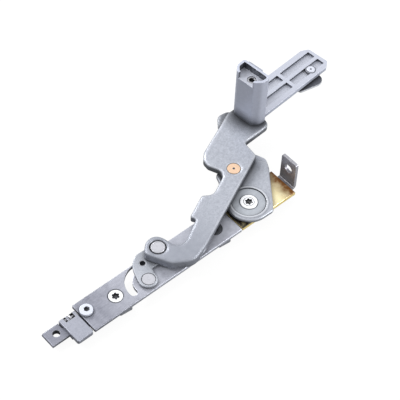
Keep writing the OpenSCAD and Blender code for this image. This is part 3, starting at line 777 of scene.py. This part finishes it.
# The cut edges get the lighter copy as painted light.
line_faces(bracket, lit_cut_sheet, cut_edge)
tongue = soften("connecting_tongue", rail_zinc, 0.25)
mounts = {mount["name"]: mount for mount in frame["record"]["mounts"]}
hole = mounts["tongue_hole"]
hole_x, hole_y, _ = (v / MM for v in hole["pos_m"])
in_bore = near_axis(hole_x, hole_y, hole["dims"]["r_mm"] + 0.05, 9.0)
# Painted shade: the walls of the tongue's bore get the dark finish.
line_faces(tongue, socket_shade, both(upright_wall, in_bore))
soften("groove_nuts", link_cast, 0.3)
soften("pivot_nut", pin_zinc, 0.3)
soften("pivot_bush", pin_zinc, 0.1)

# %% Dress the end block and its notch
block = soften("end_block", block_cast, 0.3)
block_low, block_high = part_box("end_block")
spindle_low, spindle_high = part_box("adjusting_spindle")
spindle_mid = (spindle_low + spindle_high) / 2
NOTCH_END = 0.4 * MM


def in_notch(centre, normal):
    """The block's faces round the spindle, without its top, its foot and its near side."""
    beside = spindle_low.x < centre.x < spindle_high.x
    along = spindle_low.x + NOTCH_END < centre.x < spindle_high.x - NOTCH_END
    top = abs(centre.z - block_high.z) <= 0.05 * MM
    foot = centre.z <= block_low.z + 0.2 * MM
    far = centre.y > 0.6 * MM
    return beside and (along or abs(normal.x) > 0.9) and far and not top and not foot


# Painted shade: the notch's inside gets the dark finish.
line_faces(block, socket_shade, in_notch)
print("spindle mm:", [round(v / MM, 2) for v in (*spindle_low, *spindle_high)])
print("block mm:", [round(v / MM, 2) for v in (*block_low, *block_high)])

# %% Close the notch's far side beside the wheel, as painted shade
# Two thin dark walls put where the notch lies in shade: painted shade, not parts of the hinge.
WALL_Y, WALL_Z = 8.17, -0.15
WALL_THICK, WALL_TALL = 0.2, 3.7
wheel_x = block_low.x / MM + 6.7
wall_boxes = bmesh.new()
for from_x, to_x in ((wheel_x - 4.0, wheel_x - 0.15), (wheel_x + 1.45, wheel_x + 3.9)):
    at = Matrix.Translation(Vector(((from_x + to_x) / 2, WALL_Y, WALL_Z)) * MM)
    size = Matrix.Diagonal(((to_x - from_x) * MM, WALL_THICK * MM, WALL_TALL * MM, 1.0))
    bmesh.ops.create_cube(wall_boxes, size=1.0, matrix=at @ size)
walls_mesh = bpy.data.meshes.new("notch_shade_walls")
wall_boxes.to_mesh(walls_mesh)
wall_boxes.free()
walls_mesh.materials.append(socket_shade)
notch_shade_walls = bpy.data.objects.new("notch_shade_walls", walls_mesh)
bpy.context.scene.collection.objects.link(notch_shade_walls)
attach(notch_shade_walls, "rail_side")
print("notch walls from the wheel at x =", round(wheel_x, 2), "mm")

# %% [markdown]
# ## Screws, rivets and pins
#
# Their round heads are turned or headed parts with a crisp, small edge. Sockets and dimples
# are lined with a dark finish as painted shade, and the clamp screw nearer the pivot is
# painted dark as it lies in the arm's shadow.

# %% Dress the screws
SOCKET_R = 2.75
screws = soften("clamp_screws", white_zinc, 0.12)
# Painted shadow: the clamp screw nearer the pivot gets the darker copy.
line_faces(screws, shaded_zinc, lambda centre, normal: centre.x / MM > second_screw - 2 * screw_r)
# Painted shade: the screws' sockets get the dark finish.
for x in (first_screw, second_screw):
    line_faces(screws, socket_shade, near_axis(x, 0.0, SOCKET_R, screws_high.z / MM - 0.1))
pivot = soften("pivot_screw", white_zinc, 0.15)
x, y, _, top = round_head("pivot_screw")
# Painted shade in the pivot screw's socket, whose floor keeps the white zinc.
line_faces(pivot, socket_shade, near_axis(x, y, SOCKET_R, top - 0.1))
line_faces(pivot, white_zinc, both(faces_up, near_axis(x, y, SOCKET_R, top - 1.2)))
soften("pivot_disc", disc_steel, 0.12)

# %% Dress the rivets, pins and sockets
spindle = soften("adjusting_spindle", pin_zinc, 0.1)
soften("link_rivet", pin_zinc, 0.12)
soften("arm_pin", pin_zinc, 0.15)
soften("arm_spacer", dark_sheet, 0.1)
soften("hinge_pin", pin_zinc, 0.15)
# Painted shade: each piece's socket or bore gets the dark finish given in the table.
for node, finish_used, slot_name, radius, inside, inside_r, depth in (
    ("eccentric_button", head_zinc, "bright_zinc", 0.2, socket_shade, 2.0, 0.1),
    ("guide_stud", pin_zinc, "pin_steel", 0.12, well_shade, 2.0, 0.05),
    ("arm_rivet", peach_copper, "copper", 0.12, socket_shade, 1.0, 0.05),
    ("height_screw", pin_zinc, "dark_steel", 0.15, socket_shade, 2.1, 0.1),
):
    piece = soften(node, finish_used, radius)
    x, y, _, top = round_head(node)
    line_faces(piece, inside, near_axis(x, y, inside_r, top - depth))
rivet = soften("leaf_rivet", head_zinc, 0.12)
rivet_x, rivet_y, _, rivet_top = round_head("leaf_rivet")
# Painted shade: the rivet's walls and its dimple get the dark finish.
line_faces(rivet, well_shade, upright_wall)
line_faces(rivet, well_shade, near_axis(rivet_x, rivet_y, 1.2, rivet_top - 0.02))

# %% [markdown]
# ## The castings
#
# The arm, the link and the support arm leave CAD with their rounding already modelled, so
# only the rims of their bores are softened. The leaf has plain edges in CAD, and its rounding
# is made here. Its pocket floors are lowered a little, and the walls of the pockets and of the
# well get darker finishes of their own as painted shade. Its up-facing faces get a lighter
# copy of its finish as painted light, and the ribs a finish of their own. The clamp's top is
# painted dark as in shade, and its side walls light as painted light.

# %% Dress the arms and the clamp
soften("main_arm", arm_cast, 0.15)
soften("control_link", link_cast, 0.12)
soften("support_arm", wedge_cast, 0.2)
# The clamp's top is painted dark as in shade, and its side walls light as painted light.
lever = soften("leaf_clamp", lever_shaded_top, 0.15)
line_faces(lever, lever_lit_side, upright_wall)

# %% Lower the leaf's pocket floors
CAD_FLOOR, LOWER_BY = 1.5 * MM, 0.7 * MM
leaf = soften("hinge_leaf", leaf_cast, 0.45, segments=3)
leaf_low, rim_top = (corner.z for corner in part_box("hinge_leaf"))
corners = leaf.data.vertices
lowered = [v for v in corners if abs(v.co.z - leaf_low - CAD_FLOOR) < 0.05 * MM]
for vertex in lowered:
    vertex.co.z -= LOWER_BY
floor_z = min(v.co.z for v in corners if v.co.z > leaf_low + 0.6 * MM)
print("corners of the pocket floors lowered:", len(lowered))

# %% Line the leaf's well, pockets, floors and ribs
WELL_DEPTH, PLATE_THICK = 8 * MM, 4 * MM
# Painted shade: the walls of the well and of the pockets get dark finishes.
leaf.data.materials.append(well_shade)
leaf.data.materials.append(pocket_shade)
wall_counts = [0, 0, 0]
for face in leaf.data.polygons:
    foot = min(corners[v].co.z for v in face.vertices)
    if not upright_wall(face.center, face.normal):
        continue
    if foot > rim_top - WELL_DEPTH:
        face.material_index = 1
    elif leaf_low + 0.5 * MM < foot < leaf_low + PLATE_THICK:
        face.material_index = 2
    wall_counts[face.material_index] += 1
print("leaf walls plain, in the well, in the pockets:", wall_counts)


def below_rim(centre, normal):
    """A test for faces that lie lower than the bearing block's rim."""
    return centre.z < rim_top - 1.5 * MM


def on_ribs(centre, normal):
    """A test for faces at the height of the leaf's ribs."""
    return floor_z + 0.3 * MM < centre.z < leaf_low + PLATE_THICK


# Painted light: the up-facing faces below the rim get the lighter copy.
line_faces(leaf, leaf_lit_plate, both(faces_up, below_rim))
line_faces(leaf, leaf_rib, both(faces_up, on_ribs))
# Painted shadow: the upright faces round the rivet get the dark finish.
rivet_seat = near_axis(rivet_x, rivet_y, 5.5, rivet_top + 3)
line_faces(leaf, socket_shade, both(upright_wall, rivet_seat))

# %% [markdown]
# ## Thread rings by Geometry Nodes
#
# A thread seen from outside is a row of equal ridges, which is what instancing is for. The
# tree sweeps a small round section into a ring and sets copies of it along a line. It serves
# the adjusting spindle, whose shaft is first drawn in to the thread's core, so that the
# ridges reach only as far as the CAD shaft does and still turn inside the tongue's bore.

# %% Tree that rows up rings
def ring_row_tree(finish_used):
    """Rings of a thread along +Z from the origin, in a finish."""
    tree = bpy.data.node_groups.new("ring_row", "GeometryNodeTree")
    tree.interface.new_socket("Geometry", in_out="INPUT", socket_type="NodeSocketGeometry")
    tree.interface.new_socket("Geometry", in_out="OUTPUT", socket_type="NodeSocketGeometry")
    for label, kind, value in (
        ("Ring radius", "NodeSocketFloat", 1.5 * MM),
        ("Ridge radius", "NodeSocketFloat", 0.15 * MM),
        ("Pitch", "NodeSocketFloat", 0.5 * MM),
        ("Count", "NodeSocketInt", 4),
    ):
        tree.interface.new_socket(label, in_out="INPUT", socket_type=kind).default_value = value
    given = tree.nodes.new("NodeGroupInput").outputs
    ring = tree.nodes.new("GeometryNodeCurvePrimitiveCircle")
    ring.inputs["Resolution"].default_value = 32
    tree.links.new(given["Ring radius"], ring.inputs["Radius"])
    section = tree.nodes.new("GeometryNodeCurvePrimitiveCircle")
    section.inputs["Resolution"].default_value = 6
    tree.links.new(given["Ridge radius"], section.inputs["Radius"])
    swept = tree.nodes.new("GeometryNodeCurveToMesh")
    tree.links.new(ring.outputs["Curve"], swept.inputs["Curve"])
    tree.links.new(section.outputs["Curve"], swept.inputs["Profile Curve"])
    row = tree.nodes.new("GeometryNodeMeshLine")
    step = tree.nodes.new("ShaderNodeCombineXYZ")
    tree.links.new(given["Pitch"], step.inputs["Z"])
    tree.links.new(given["Count"], row.inputs["Count"])
    tree.links.new(step.outputs[0], row.inputs["Offset"])
    copies = tree.nodes.new("GeometryNodeInstanceOnPoints")
    tree.links.new(row.outputs["Mesh"], copies.inputs["Points"])
    tree.links.new(swept.outputs["Mesh"], copies.inputs["Instance"])
    real = tree.nodes.new("GeometryNodeRealizeInstances")
    tree.links.new(copies.outputs["Instances"], real.inputs["Geometry"])
    smooth = tree.nodes.new("GeometryNodeSetShadeSmooth")
    tree.links.new(real.outputs["Geometry"], smooth.inputs["Geometry"])
    painted = tree.nodes.new("GeometryNodeSetMaterial")
    painted.inputs["Material"].default_value = finish_used
    tree.links.new(smooth.outputs["Geometry"], painted.inputs["Geometry"])
    end = tree.nodes.new("NodeGroupOutput")
    tree.links.new(painted.outputs["Geometry"], end.inputs["Geometry"])
    return tree


# %% Helper that turns a tree into a plain piece
def grow(name, tree, values, place, body):
    """Runs a tree with named input values and bakes the result into a mesh at its place."""
    seed = bpy.data.objects.new(name + "_seed", bpy.data.meshes.new(name + "_seed"))
    bpy.context.scene.collection.objects.link(seed)
    nodes = seed.modifiers.new("grow", "NODES")
    nodes.node_group = tree
    for item in tree.interface.items_tree:
        if item.in_out == "INPUT" and item.name in values:
            nodes[item.identifier] = values[item.name]
    evaluated = seed.evaluated_get(bpy.context.evaluated_depsgraph_get())
    mesh = bpy.data.meshes.new_from_object(evaluated)
    seed.modifiers.remove(nodes)
    bpy.data.objects.remove(seed)
    mesh.name = name
    mesh.transform(place)
    piece = bpy.data.objects.new(name, mesh)
    bpy.context.scene.collection.objects.link(piece)
    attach(piece, body)
    print(name, "faces", len(mesh.polygons))


# %% Thread the adjusting spindle
SHAFT, CORE, RIDGE = 1.5 * MM, 1.26 * MM, 0.13 * MM
PITCH, THREAD_START = 0.5 * MM, 1.75 * MM
cut = 0
for vertex in spindle.data.vertices:
    off = vertex.co - spindle_mid
    radial = math.hypot(off.y, off.z)
    if abs(radial - SHAFT) < 0.02 * MM:
        vertex.co.y = spindle_mid.y + off.y * CORE / radial
        vertex.co.z = spindle_mid.z + off.z * CORE / radial
        cut += 1
ring_row = ring_row_tree(pin_zinc)
turn_to_x = Matrix.Rotation(math.radians(90), 4, "Y")
thread = {"Ring radius": SHAFT - RIDGE, "Ridge radius": RIDGE, "Pitch": PITCH, "Count": 6}
start = Vector((spindle_low.x + THREAD_START, spindle_mid.y, spindle_mid.z))
place = Matrix.Translation(start) @ turn_to_x
grow("spindle_thread", ring_row, thread, place, "spindle")
print("points of the shaft drawn in:", cut)

# %% Print the CAD box
print("cad box mm:", [round(v / MM, 2) for c in cad_box for v in c])
